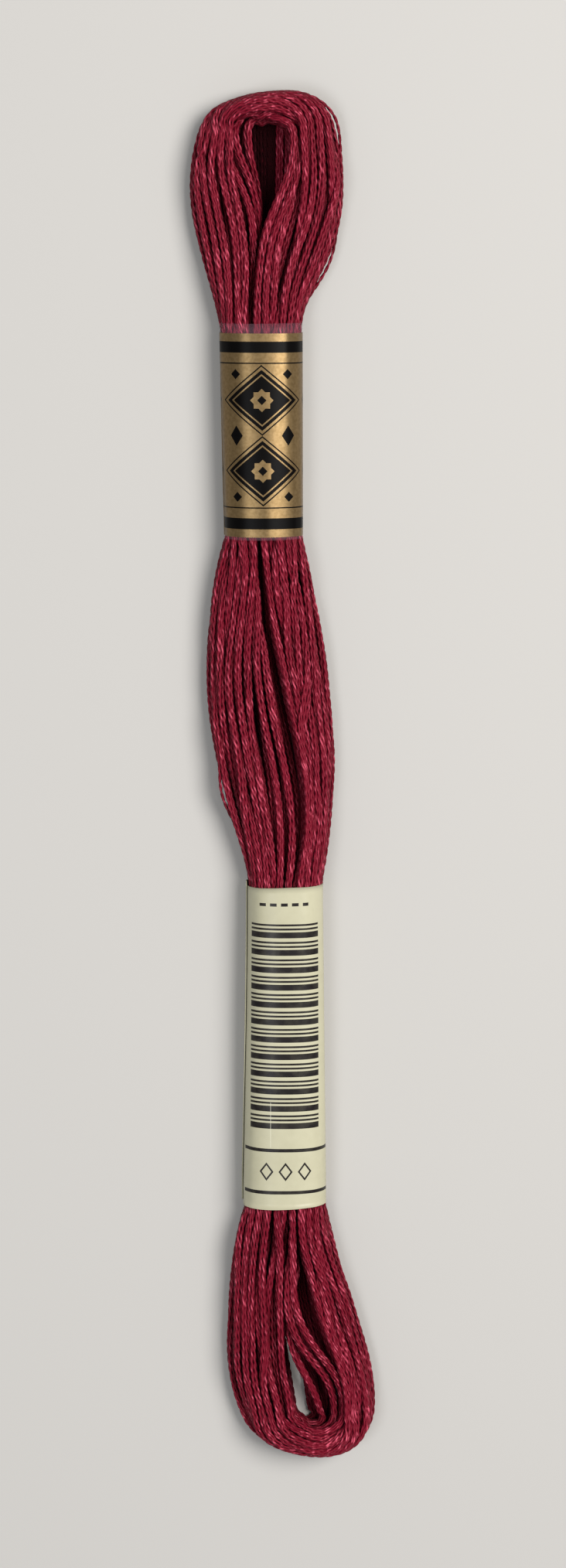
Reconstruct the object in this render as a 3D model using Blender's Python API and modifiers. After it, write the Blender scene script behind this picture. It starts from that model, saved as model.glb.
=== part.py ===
"""Skein of embroidery floss: one long winding that lies flat, squeezed by two slipped-on bands.

The skein lies along Y with its upper eye loop at +Y, on the plane z = 0. Sizes are in millimetres
until MM turns them into metres.
"""

import math
from collections import namedtuple

import bpy
import numpy as np

MM = 0.001

# The material of both bands as it is built, and how far the floss stays clear inside them.
SHEET = 1.0
CLEARANCE = 0.3
CROWN_ROOM = 0.5  # more room under a band's domed top, where its corners round off
MOUTH_ROOM = 1.6  # how far past a band's end the floss keeps its squeezed size
SLOT = 0.3  # between the two legs of the winding, where they lie side by side

# A band is a sleeve whose width and height change evenly from its lower to its upper end.
Band = namedtuple("Band", "low_y low_x low_width low_height high_y high_x high_width high_height")
UPPER_BAND = Band(30.4, -2.7, 9.5, 6.1, 55.8, -2.95, 9.7, 6.0)
LOWER_BAND = Band(-50.9, -0.2, 10.3, 5.8, -11.3, -0.1, 9.2, 6.2)

# Between the eye loops the two legs of the winding lie side by side, and meet at the furrow. Each
# row is a cut across both, from the upper eye down, with the edges of the legs on either side.
Legs = namedtuple("Legs", "y left_x furrow_x right_x height lift")
LEGS_ABOVE = [
    Legs(62.0, -9.2, -3.7, 4.4, 4.6, 0),
    Legs(58.9, -8.0, -3.3, 2.6, 4.5, 0.2),
]
LEGS_BETWEEN = [
    Legs(27.4, -7.8, -2.5, 2.1, 4.6, 0.2),
    Legs(22.0, -8.9, -2.0, 3.6, 4.8, 0),
    Legs(15.0, -9.45, -1.2, 4.8, 4.9, 0),
    Legs(8.5, -9.4, -0.5, 5.3, 4.9, 0),
    Legs(2.5, -8.1, 0.1, 5.65, 5.0, 0),
    Legs(-3.5, -6.3, 0.3, 5.3, 5.0, 0),
    Legs(-8.6, -5.0, 0.0, 4.8, 4.7, 0.2),
]
LEGS_BELOW = [
    Legs(-54.8, -5.9, -0.2, 5.3, 4.6, 0.2),
    Legs(-58.2, -6.6, -0.3, 6.2, 4.8, 0),
    Legs(-62.2, -7.0, -0.2, 7.5, 4.8, 0),
]

# Round each eye loop a row is one cross-section of the winding, from the edge at the eye (inner) to
# the edge at its outside (outer), going clockwise seen from above.
Section = namedtuple("Section", "outer_x outer_y inner_x inner_y height lift")
LOWER_EYE = [
    Section(9.0, -66.4, 0.3, -67.2, 4.8, 0),
    Section(10.5, -70.9, 2.0, -70.4, 4.8, 0),
    Section(11.4, -75.4, 4.2, -73.4, 5.0, 0),
    Section(11.1, -78.6, 5.3, -75.8, 5.3, 0),
    Section(8.4, -81.4, 5.2, -78.0, 5.7, 0),
    Section(3.6, -82.7, 3.7, -78.9, 5.9, 0),
    Section(-1.6, -81.4, 2.0, -78.0, 5.7, 0),
    Section(-5.3, -78.0, 0.9, -75.6, 5.2, 0),
    Section(-6.8, -74.4, 0.3, -72.8, 4.9, 0),
    Section(-7.15, -69.5, 0.0, -69.8, 4.8, 0),
    Section(-7.1, -65.6, -0.5, -67.0, 4.8, 0),
]
UPPER_EYE = [
    Section(-10.4, 66.4, -3.3, 67.0, 4.6, 0),
    Section(-11.2, 70.8, -3.2, 70.6, 4.7, 0),
    Section(-11.4, 75.0, -4.2, 73.8, 4.9, 0),
    Section(-9.7, 79.2, -4.3, 76.6, 5.2, 0),
    Section(-5.0, 81.9, -3.7, 78.0, 5.6, 0),
    Section(-0.4, 82.7, -2.7, 78.6, 5.9, 0),
    Section(3.6, 81.6, -2.0, 78.0, 5.6, 0),
    Section(6.1, 78.3, -1.5, 76.8, 5.2, 0),
    Section(6.9, 74.0, -1.2, 74.4, 4.9, 0),
    Section(6.7, 69.6, -1.3, 71.4, 4.7, 0),
    Section(5.9, 65.8, -2.4, 67.6, 4.6, 0),
]

# How boxy each outline is: 2 is an ellipse. The legs are boxier where they press on each other.
OUTER_POWER = 2.0
INNER_POWER = 3.4
BAND_POWER = 3.4

STATION_STEP = 2.3  # along the ring's outer edge, between two cross-sections of the mesh
BAND_SIDES = 40
BAND_STATIONS = 5

# The floss gathers in bundles, which show as soft ridges that wander a little round the section.
BUNDLES = 6
SIDES = 4 * BUNDLES
GROOVE = 0.32  # depth between two bundles
WANDER_DEG = 34
WANDER_WAVES = 3

FLAT_CUT = 0.4  # how much of the oval the surface underneath takes off
BAND_CUT = 0.9

FLOSS_RED = (0.30, 0.012, 0.045, 1)
GOLD = (0.45, 0.32, 0.15, 1)
CREAM = (0.72, 0.70, 0.55, 1)


def empty_the_scene():
    for thing in list(bpy.data.objects):
        bpy.data.objects.remove(thing, do_unlink=True)


def flat_oval(width, height, cut, outer_power, inner_power, angles, groove=0.0):
    """Points across and up of an oval that stands flat on zero, with a ridge on every fourth."""
    half_height = (height + cut) / 2
    power = np.where(np.cos(angles) > 0, outer_power, inner_power)
    across = np.sign(np.cos(angles)) * np.abs(np.cos(angles)) ** (2 / power)
    up = np.sign(np.sin(angles)) * np.abs(np.sin(angles)) ** (2 / power)
    ridge = np.arange(len(angles)) % 4
    depth = groove * np.array([0.0, 0.5, 1.0, 0.5])[ridge]
    across = across * (width / 2 - depth)
    up = up * (half_height - depth) + half_height - cut
    return across, np.maximum(up, 0)


def band_at(band, y):
    """Centre, width and height of a band at this place along it, or past its ends."""
    share = (y - band.low_y) / (band.high_y - band.low_y)
    centre = band.low_x + share * (band.high_x - band.low_x)
    width = band.low_width + share * (band.high_width - band.low_width)
    height = band.low_height + share * (band.high_height - band.low_height)
    return centre, width, height


def legs_in_band(band):
    """Both legs as a band squeezes them, at its two ends and half-way, from the upper end down."""
    ends = (band.high_y + MOUTH_ROOM, (band.high_y + band.low_y) / 2, band.low_y - MOUTH_ROOM)
    wall = SHEET + CLEARANCE
    rows = []
    for y in ends:
        centre, width, height = band_at(band, y)
        reach = width / 2 - wall
        rows.append(
            Legs(y, centre - reach, centre, centre + reach, height - 2 * wall - CROWN_ROOM, wall)
        )
    return rows


def one_leg(legs, side):
    """The cross-section of the right leg (side 1) or the left one (side -1)."""
    outer_x = legs.right_x if side > 0 else legs.left_x
    inner_x = legs.furrow_x + side * SLOT / 2
    return Section(outer_x, legs.y, inner_x, legs.y, legs.height, legs.lift)


def ring_rows():
    """All cross-sections clockwise: the right leg down, the lower eye, the left leg up, the upper eye."""
    above = LEGS_ABOVE + legs_in_band(UPPER_BAND)
    below = legs_in_band(LOWER_BAND) + LEGS_BELOW
    both = above + LEGS_BETWEEN + below
    right = [one_leg(legs, 1) for legs in both]
    left = [one_leg(legs, -1) for legs in reversed(both)]
    return right + LOWER_EYE + left + UPPER_EYE


def tangents(rows, places, total):
    """Slope of every column at every row, held flat where the column has a peak or stays level."""
    steps = np.diff(np.append(places, total))[:, None]
    slopes = (np.roll(rows, -1, axis=0) - rows) / steps
    before = np.roll(slopes, 1, axis=0)
    before_step = np.roll(steps, 1, axis=0)
    same_way = slopes * before > 0
    weight = 3 * (before_step + steps)
    blend = (2 * steps + before_step) / np.where(same_way, before, 1)
    blend = blend + (steps + 2 * before_step) / np.where(same_way, slopes, 1)
    return np.where(same_way, weight / blend, 0)


def smooth_ring(rows):
    """Evenly spaced cross-sections on a smooth closed curve through the rows, without overshoot."""
    rows = np.array(rows, float)
    edge = rows[:, 0:2]
    steps = np.linalg.norm(np.roll(edge, -1, axis=0) - edge, axis=1)
    places = np.concatenate([[0], np.cumsum(steps)[:-1]])
    total = steps.sum()
    slopes = tangents(rows, places, total)
    stations = round(total / STATION_STEP)
    wanted = np.arange(stations) * total / stations
    row = np.searchsorted(places, wanted, side="right") - 1
    after = (row + 1) % len(rows)
    span = steps[row][:, None]
    t = ((wanted - places[row]) / steps[row])[:, None]
    start = (1 + 2 * t) * (1 - t) ** 2 * rows[row]
    start = start + t * (1 - t) ** 2 * span * slopes[row]
    end = t * t * (3 - 2 * t) * rows[after] + t * t * (t - 1) * span * slopes[after]
    return start + end


def grid_faces(rows, columns, closed_rows):
    """Quads of a grid whose columns close round the section, and whose rows may close as a ring."""
    faces = []
    for row in range(rows if closed_rows else rows - 1):
        after = (row + 1) % rows
        for column in range(columns):
            beside = (column + 1) % columns
            faces.append(
                (
                    row * columns + column,
                    row * columns + beside,
                    after * columns + beside,
                    after * columns + column,
                )
            )
    return faces


def plain_material(name, colour, roughness):
    material = bpy.data.materials.new(name)
    material.use_nodes = True
    shader = material.node_tree.nodes["Principled BSDF"]
    shader.inputs["Base Color"].default_value = colour
    shader.inputs["Roughness"].default_value = roughness
    shader.inputs["Metallic"].default_value = 0
    return material


def add_part(name, points, faces, material, collection):
    mesh = bpy.data.meshes.new(name)
    mesh.from_pydata([tuple(point) for point in points * MM], [], faces)
    mesh.shade_smooth()
    mesh.materials.append(material)
    part = bpy.data.objects.new(name, mesh)
    collection.objects.link(part)
    return part


def add_skein(collection):
    """The whole winding as one closed ring of flat-bottomed ovals."""
    stations = smooth_ring(ring_rows())
    points = []
    for place, row in enumerate(stations):
        outer, inner = row[0:2], row[2:4]
        height, lift = row[4:6]
        middle = (outer + inner) / 2
        width = np.linalg.norm(outer - inner)
        sideways = (outer - inner) / width
        phase = 2 * math.pi * WANDER_WAVES * place / len(stations)
        turn = math.radians(WANDER_DEG) * math.sin(phase)
        angles = np.arange(SIDES) * 2 * math.pi / SIDES + turn
        across, up = flat_oval(width, height, FLAT_CUT, OUTER_POWER, INNER_POWER, angles, GROOVE)
        flat = middle + across[:, None] * sideways
        points.append(np.column_stack([flat, up + lift]))
    points = np.concatenate(points)
    faces = grid_faces(len(stations), SIDES, closed_rows=True)
    material = plain_material("floss", FLOSS_RED, 0.55)
    return add_part("skein", points, faces, material, collection)


def add_band(name, band, colour, roughness, collection):
    """A sleeve: an open skin round both legs, given its wall inwards."""
    angles = (np.arange(BAND_SIDES) + 0.5) * 2 * math.pi / BAND_SIDES
    points = []
    for y in np.linspace(band.low_y, band.high_y, BAND_STATIONS):
        centre, width, height = band_at(band, y)
        across, up = flat_oval(width, height, BAND_CUT, BAND_POWER, BAND_POWER, angles)
        points.append(np.column_stack([centre + across, np.full(BAND_SIDES, y), up]))
    faces = grid_faces(BAND_STATIONS, BAND_SIDES, closed_rows=False)
    faces = [face[::-1] for face in faces]
    material = plain_material(name, colour, roughness)
    part = add_part(name, np.concatenate(points), faces, material, collection)
    wall = part.modifiers.new("wall", "SOLIDIFY")
    wall.thickness = SHEET * MM
    wall.offset = -1
    wall.use_even_offset = True
    return part


empty_the_scene()
floss_skein = bpy.data.collections.new("embroidery_floss_skein")
bpy.context.scene.collection.children.link(floss_skein)
add_skein(floss_skein)
add_band("upper_band", UPPER_BAND, GOLD, 0.3, floss_skein)
add_band("lower_band", LOWER_BAND, CREAM, 0.45, floss_skein)
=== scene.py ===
import math
from collections import namedtuple

import bpy
import numpy as np
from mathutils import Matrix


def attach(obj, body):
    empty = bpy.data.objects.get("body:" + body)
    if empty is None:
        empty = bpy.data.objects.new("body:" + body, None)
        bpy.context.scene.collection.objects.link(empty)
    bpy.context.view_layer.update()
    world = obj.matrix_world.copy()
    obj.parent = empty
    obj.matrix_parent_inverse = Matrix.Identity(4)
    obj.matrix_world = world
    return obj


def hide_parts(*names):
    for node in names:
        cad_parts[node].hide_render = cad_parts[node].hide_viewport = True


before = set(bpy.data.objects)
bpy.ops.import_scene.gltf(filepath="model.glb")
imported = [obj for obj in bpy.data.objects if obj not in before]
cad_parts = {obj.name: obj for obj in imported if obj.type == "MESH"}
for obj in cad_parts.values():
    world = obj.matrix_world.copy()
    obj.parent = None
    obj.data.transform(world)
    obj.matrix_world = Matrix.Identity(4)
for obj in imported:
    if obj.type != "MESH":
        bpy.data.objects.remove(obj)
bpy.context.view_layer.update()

MM = 0.001

# --- Camera, floor and light -------------------------------------------------------------
# The skein lies on a plain pale table under soft light. The camera hangs above its upper end
# and looks down its length, so that the lower loop is a little further away.
CAMERA_AT = (-0.37, 69.08, 450.0)
CAMERA_AIM_Y = 0.44
CAMERA_LENS = 86.59
CAMERA_NEAR = 10.0
FLOOR_SIDE = 3000.0
FLOOR_FINISH = {"Base Color": (0.42, 0.412, 0.395, 1.0), "Roughness": 0.75}
AreaLight = namedtuple("AreaLight", "name x y z size power colour")
LIGHTS = (
    AreaLight("window_light", 390.0, 190.0, 620.0, 460.0, 7.6, (1.0, 0.97, 0.94)),
    AreaLight("room_light", -260.0, -80.0, 620.0, 280.0, 1.4, (0.95, 0.97, 1.0)),
)
WORLD_COLOUR = (0.82, 0.82, 0.83, 1.0)
WORLD_STRENGTH = 0.45

scene = bpy.context.scene
camera_data = bpy.data.cameras.new("camera")
camera_data.lens = CAMERA_LENS
camera_data.clip_start = CAMERA_NEAR * MM
camera = bpy.data.objects.new("camera", camera_data)
camera.location = [c * MM for c in CAMERA_AT]
camera.rotation_euler = (-math.atan2(CAMERA_AT[1] - CAMERA_AIM_Y, CAMERA_AT[2]), 0.0, 0.0)
scene.collection.objects.link(camera)
scene.camera = camera

for row in LIGHTS:
    data = bpy.data.lights.new(row.name, "AREA")
    data.shape = "DISK"
    data.size = row.size * MM
    data.energy = row.power
    data.color = row.colour
    lamp = bpy.data.objects.new(row.name, data)
    lamp.location = (row.x * MM, row.y * MM, row.z * MM)
    lamp.rotation_euler = lamp.location.to_track_quat("Z", "Y").to_euler()
    scene.collection.objects.link(lamp)

world = bpy.data.worlds.new("soft_room")
world.use_nodes = True
world.node_tree.nodes["Background"].inputs["Color"].default_value = WORLD_COLOUR
world.node_tree.nodes["Background"].inputs["Strength"].default_value = WORLD_STRENGTH
scene.world = world
scene.view_settings.view_transform = "Standard"


def plain_material(name, finish):
    """A new Principled material and its shader, with the inputs that finish names."""
    material = bpy.data.materials.new(name)
    material.use_nodes = True
    shader = material.node_tree.nodes["Principled BSDF"]
    for socket, value in finish.items():
        shader.inputs[socket].default_value = value
    return material, shader


def mesh_object(name, vertices, faces, material):
    """A new smooth mesh object from points in millimetres."""
    mesh = bpy.data.meshes.new(name)
    mesh.from_pydata((np.asarray(vertices, float) * MM).tolist(), [], faces)
    mesh.materials.append(material)
    mesh.shade_smooth()
    made = bpy.data.objects.new(name, mesh)
    scene.collection.objects.link(made)
    return made


floor_corners = [(x * FLOOR_SIDE / 2, y * FLOOR_SIDE / 2, 0) for x, y in ((-1, -1), (1, -1), (1, 1), (-1, 1))]
floor = mesh_object("floor", floor_corners, [(0, 1, 2, 3)], plain_material("pale_table", FLOOR_FINISH)[0])

# --- Floss: the ring that the winding fills ----------------------------------------------
# The skein is 8 m of six-strand cotton wound in 24 turns round two pegs, then pressed flat.
# Every turn goes down the right leg, round the lower eye, up the left leg and round the upper
# eye. These rows give the room that each leg and each eye's bend leaves for the turns.
TURNS = 24
STRANDS = 6
STRAND_WIDE = 0.40
LEG_TOP = 78.2
LEG_FOOT = -77.6
LEG_PLANES = 130
BEND_STEP = 9.0
UPPER_PIVOT = (-2.9, LEG_TOP)
LOWER_PIVOT = (2.6, LEG_FOOT)
BAND_ROOMS = ((54.8, 31.2), (-12.2, -50.1))
BAND_BED = 0.22
BAND_REACH = 1.0
OUTLINE_FILL = 0.15
RING_EVENED = 3


def table(names, *rows):
    """The columns of a table by their names."""
    return dict(zip(names.split(), np.array(rows, float).T))


LEGS = table(
    "y left inner_left inner_right right height",
    (78.2, -10.2, -6.6, 1.1, 7.0, 5.0),
    (76.0, -11.05, -7.8, 1.7, 7.15, 5.0),
    (73.5, -11.35, -7.9, 1.8, 7.35, 5.0),
    (71.0, -11.3, -7.2, 1.8, 7.45, 4.9),
    (69.0, -11.25, -6.2, 1.1, 7.5, 4.8),
    (67.0, -10.8, -5.4, 0.2, 6.9, 4.8),
    (65.0, -10.25, -4.8, -0.4, 6.05, 4.8),
    (62.5, -9.6, -4.7, -0.9, 5.2, 4.9),
    (60.0, -8.75, -4.7, -1.2, 3.0, 5.1),
    (58.2, -8.5, -4.7, -2.2, 2.25, 5.3),
    (56.9, -7.85, -4.65, -3.0, 1.75, 5.7),
    (55.0, -7.65, -4.6, -3.9, 1.72, 5.8),
    (43.0, -7.35, -4.0, -3.6, 1.7, 5.9),
    (31.0, -7.0, -3.5, -3.0, 1.75, 5.8),
    (29.6, -7.2, -3.5, -2.9, 1.85, 5.6),
    (28.4, -8.05, -3.5, -2.7, 2.35, 5.3),
    (25.4, -8.55, -3.2, -2.2, 3.1, 5.1),
    (22.0, -8.95, -2.8, -1.8, 3.6, 4.9),
    (18.0, -9.4, -2.2, -1.1, 4.5, 4.9),
    (13.5, -9.7, -1.3, -0.1, 5.0, 4.9),
    (10.0, -9.6, -0.6, 0.6, 5.25, 4.9),
    (5.0, -8.85, 0.7, 1.9, 6.1, 4.9),
    (0.0, -8.3, 1.7, 2.8, 5.75, 5.0),
    (-5.0, -6.25, 1.8, 2.8, 5.3, 5.1),
    (-8.6, -4.85, 1.3, 2.0, 4.8, 5.3),
    (-10.4, -4.35, 0.9, 1.2, 4.25, 5.7),
    (-13.0, -4.3, 0.4, 0.7, 4.15, 5.9),
    (-32.0, -4.7, -0.1, 0.2, 4.4, 5.8),
    (-49.5, -4.82, 0.4, 0.3, 4.6, 5.6),
    (-51.1, -4.85, 0.6, 0.3, 4.72, 5.4),
    (-53.0, -6.45, 0.7, 0.5, 5.3, 5.1),
    (-56.0, -7.0, 0.6, 1.3, 5.9, 4.9),
    (-59.3, -7.15, -0.5, 3.0, 6.65, 4.8),
    (-62.4, -7.4, -0.5, 3.7, 7.9, 4.8),
    (-65.0, -7.45, -0.4, 4.5, 8.65, 4.8),
    (-67.2, -7.4, -0.3, 5.4, 9.25, 4.8),
    (-69.5, -7.4, -0.4, 6.4, 9.95, 4.8),
    (-73.5, -7.3, 0.0, 7.7, 11.25, 4.9),
    (-76.0, -6.65, 0.9, 7.9, 11.95, 4.9),
    (-77.6, -5.5, 1.9, 7.5, 11.8, 4.9),
)
# How far the lower layers of each leg reach in beneath the upper ones: slope for all of them in
# turn, and toe for the lowest alone.
FEET = table(
    "y slope_left toe_left slope_right toe_right",
    (78.2, 2.2, 0.9, 2.0, 0.9),
    (76.0, 2.6, 0.9, 2.2, 0.9),
    (73.5, 2.8, 1.2, 2.3, 0.8),
    (70.0, 2.4, 1.4, 2.2, 1.2),
    (66.0, 1.2, 0.8, 0.6, 2.0),
    (62.0, 0.4, 0.2, 0.0, 1.8),
    (58.0, 0.0, 0.0, 0.0, 0.8),
    (55.0, 0.0, 0.0, 0.0, 0.0),
    (31.0, 0.0, 0.0, 0.0, 0.0),
    (28.8, -0.3, 0.4, 0.3, 0.3),
    (25.4, -0.8, 0.6, 0.8, 0.5),
    (22.0, -1.2, 0.7, 1.2, 1.4),
    (18.0, -1.2, 0.7, 1.2, 1.4),
    (13.5, -1.3, 0.7, 1.3, 1.4),
    (10.0, -1.4, 0.7, 1.4, 1.4),
    (5.0, -1.9, 0.7, 1.9, 1.4),
    (0.0, -2.2, 0.7, 2.2, 1.4),
    (-5.0, -2.0, 0.7, 2.0, 1.4),
    (-9.0, -1.5, 0.5, 1.5, 0.2),
    (-13.0, -0.8, 0.0, 0.8, 0.0),
    (-32.0, 0.0, 0.0, 0.0, 0.0),
    (-50.0, 0.0, 0.0, 0.0, 0.0),
    (-54.0, 0.0, 0.2, 0.4, 1.0),
    (-58.0, 0.0, 0.3, 1.2, 1.8),
    (-62.0, 0.0, 0.3, 2.0, 2.2),
    (-66.0, 0.0, 0.2, 2.8, 2.4),
    (-70.0, 0.0, 0.0, 3.2, 2.2),
    (-73.5, 0.0, 0.0, 2.8, 1.4),
    (-76.0, 0.0, 0.0, 2.2, 0.9),
    (-77.6, 0.0, 0.0, 2.0, 0.9),
)
UPPER_BEND = table(
    "angle inner outer height slope toe",
    (0, 4.00, 9.90, 5.0, 2.1, 0.9),
    (15, 3.50, 8.90, 5.0, 2.2, 0.8),
    (30, 2.75, 7.45, 5.1, 2.0, 0.7),
    (45, 2.05, 6.05, 5.4, 1.7, 0.5),
    (60, 1.60, 4.93, 5.7, 1.4, 0.4),
    (75, 1.35, 4.38, 5.9, 1.2, 0.3),
    (90, 1.20, 4.18, 6.0, 1.1, 0.2),
    (105, 1.30, 4.16, 5.9, 1.0, 0.3),
    (120, 1.60, 4.27, 5.7, 1.0, 0.4),
    (135, 2.20, 4.68, 5.4, 1.2, 0.5),
    (150, 2.90, 5.50, 5.2, 1.6, 0.7),
    (165, 3.40, 6.70, 5.0, 2.0, 0.8),
    (180, 3.70, 7.50, 5.0, 2.2, 0.9),
)
LOWER_BEND = table(
    "angle inner outer height slope toe",
    (0, 4.90, 9.3, 5.0, 2.0, 0.9),
    (15, 4.50, 8.6, 5.1, 1.9, 0.9),
    (30, 3.70, 7.65, 5.3, 1.6, 0.7),
    (45, 2.80, 6.65, 5.6, 1.2, 0.5),
    (60, 1.90, 5.77, 5.8, 0.8, 0.3),
    (75, 1.20, 5.24, 6.0, 0.4, 0.1),
    (90, 0.70, 4.98, 6.0, 0.1, 0.0),
    (105, 0.50, 4.97, 5.8, 0.0, 0.0),
    (120, 0.40, 5.19, 5.6, 0.0, 0.0),
    (135, 0.35, 5.64, 5.4, 0.0, 0.0),
    (150, 0.35, 6.28, 5.2, 0.0, 0.0),
    (165, 0.35, 7.20, 5.0, 0.0, 0.0),
    (180, 0.35, 8.20, 4.9, 0.0, 0.0),
)


def evened(values, passes):
    """Values along the ring with the corners between a table's rows rounded off."""
    for _ in range(passes):
        values = (np.roll(values, 1) + 2.0 * values + np.roll(values, -1)) / 4.0
    return values


def eased(share):
    """A share from nought to one that starts and ends gently."""
    return share * share * (3 - 2 * share)


def leg_column(rows, name):
    """A leg table's column at each plane of the legs."""
    return np.interp(-leg_y, -rows["y"], rows[name])


leg_y = np.linspace(LEG_TOP, LEG_FOOT, LEG_PLANES)
leg_step = leg_y[0] - leg_y[1]
bend_angles = np.arange(BEND_STEP, 180.0 - BEND_STEP / 2, BEND_STEP)
leg_count, bend_count = len(leg_y), len(bend_angles)
stations = 2 * leg_count + 2 * bend_count
right_leg = np.arange(leg_count)
lower_bend = leg_count + np.arange(bend_count)
left_leg = leg_count + bend_count + np.arange(leg_count)[::-1]
upper_bend = 2 * leg_count + bend_count + np.arange(bend_count)[::-1]

ring = {name: np.zeros(stations) for name in
        ("x", "y", "across_x", "across_y", "inner", "outer", "height", "slope", "toe", "bed")}
pivot_x = np.interp(leg_y, (LEG_FOOT, LEG_TOP), (LOWER_PIVOT[0], UPPER_PIVOT[0]))
pressed = np.full(stations, np.inf)
for leg, side, outer in ((right_leg, 1.0, "right"), (left_leg, -1.0, "left")):
    ring["x"][leg], ring["y"][leg], ring["across_x"][leg] = pivot_x, leg_y, side
    ring["inner"][leg] = side * (leg_column(LEGS, "inner_" + outer) - pivot_x)
    ring["outer"][leg] = side * (leg_column(LEGS, outer) - pivot_x)
    ring["height"][leg] = leg_column(LEGS, "height")
    ring["slope"][leg] = leg_column(FEET, "slope_" + outer)
    ring["toe"][leg] = leg_column(FEET, "toe_" + outer)
    for top, bottom in BAND_ROOMS:
        ring["bed"][leg[(leg_y < top) & (leg_y > bottom)]] = BAND_BED
        held = leg[(leg_y < top + BAND_REACH) & (leg_y > bottom - BAND_REACH)]
        pressed[held] = ring["outer"][held] + OUTLINE_FILL
for bend, pivot, up, rows in ((upper_bend, UPPER_PIVOT, 1.0, UPPER_BEND),
                              (lower_bend, LOWER_PIVOT, -1.0, LOWER_BEND)):
    ring["x"][bend], ring["y"][bend] = pivot
    ring["across_x"][bend] = np.cos(np.radians(bend_angles))
    ring["across_y"][bend] = up * np.sin(np.radians(bend_angles))
    for name in ("inner", "outer", "height", "slope", "toe"):
        ring[name][bend] = np.interp(bend_angles, rows["angle"], rows[name])
ring["outer"] += OUTLINE_FILL
for name in ("inner", "outer", "height", "slope", "toe", "bed"):
    ring[name] = evened(ring[name], RING_EVENED)
ring["outer"] = np.minimum(ring["outer"], pressed)

# --- Floss: where each turn lies ---------------------------------------------------------
# The turns start as four layers of six beside each other and wander among their neighbours.
# At each station along the ring they are pushed apart, pulled smooth and kept inside the room
# that the ring gives. The guides are the turns that the eyes show crossing over the others.
SEED = 24
LAYERS = 4
COLUMNS = TURNS // LAYERS
CHANGE_AT_Y = 43.0
CHANGE_LENGTH = 14
WANDER = 0.65
WANDER_WAVES = (29.0, 41.0, 67.0)
WAVE_PITCHES = (0.8, 1.25)
WAVE_HEIGHTS = (0.4, 1.0)
HIGH_LOW = 0.30
GOAL_INSET = 0.3
GOAL_TOE = 0.1
TOE_FADE = 1.6
TOE_CURVE = 1.5
GUIDE_FADE = 5.0
GUIDE_EVENED = 4
GUIDE_PULL = 0.4
GUIDE_FREE = 0.3
TURN_PULL = 0.03
PACKED = 0.90
OVAL_SHARE = 0.86
OVAL_POWER = 2.25
OVAL_BELLY = 0.42
OVAL_FOOT = 1.3
LEAST_HALF = 0.3
TURN_ROOM = (0.85, 1.3)
TURN_ROOM_EVENED = 6
PUSH = 0.32
TOUCHING = 1e-4
LOOK_AGAIN = 10
TIGHTEST = 0.6
EDGE_PULL = 0.45
EYES_BEYOND_Y = 64.0
FURROW_FROM = 0.4
FURROW_FADE = 0.3
Settling = namedtuple("Settling", "rounds margin smooth neighbours spread")
TURN_SETTLING = Settling(260, 0.5, 0.42, 14, 1.0)
Guide = namedtuple("Guide", "turn left right", defaults=((), ()))
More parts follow.
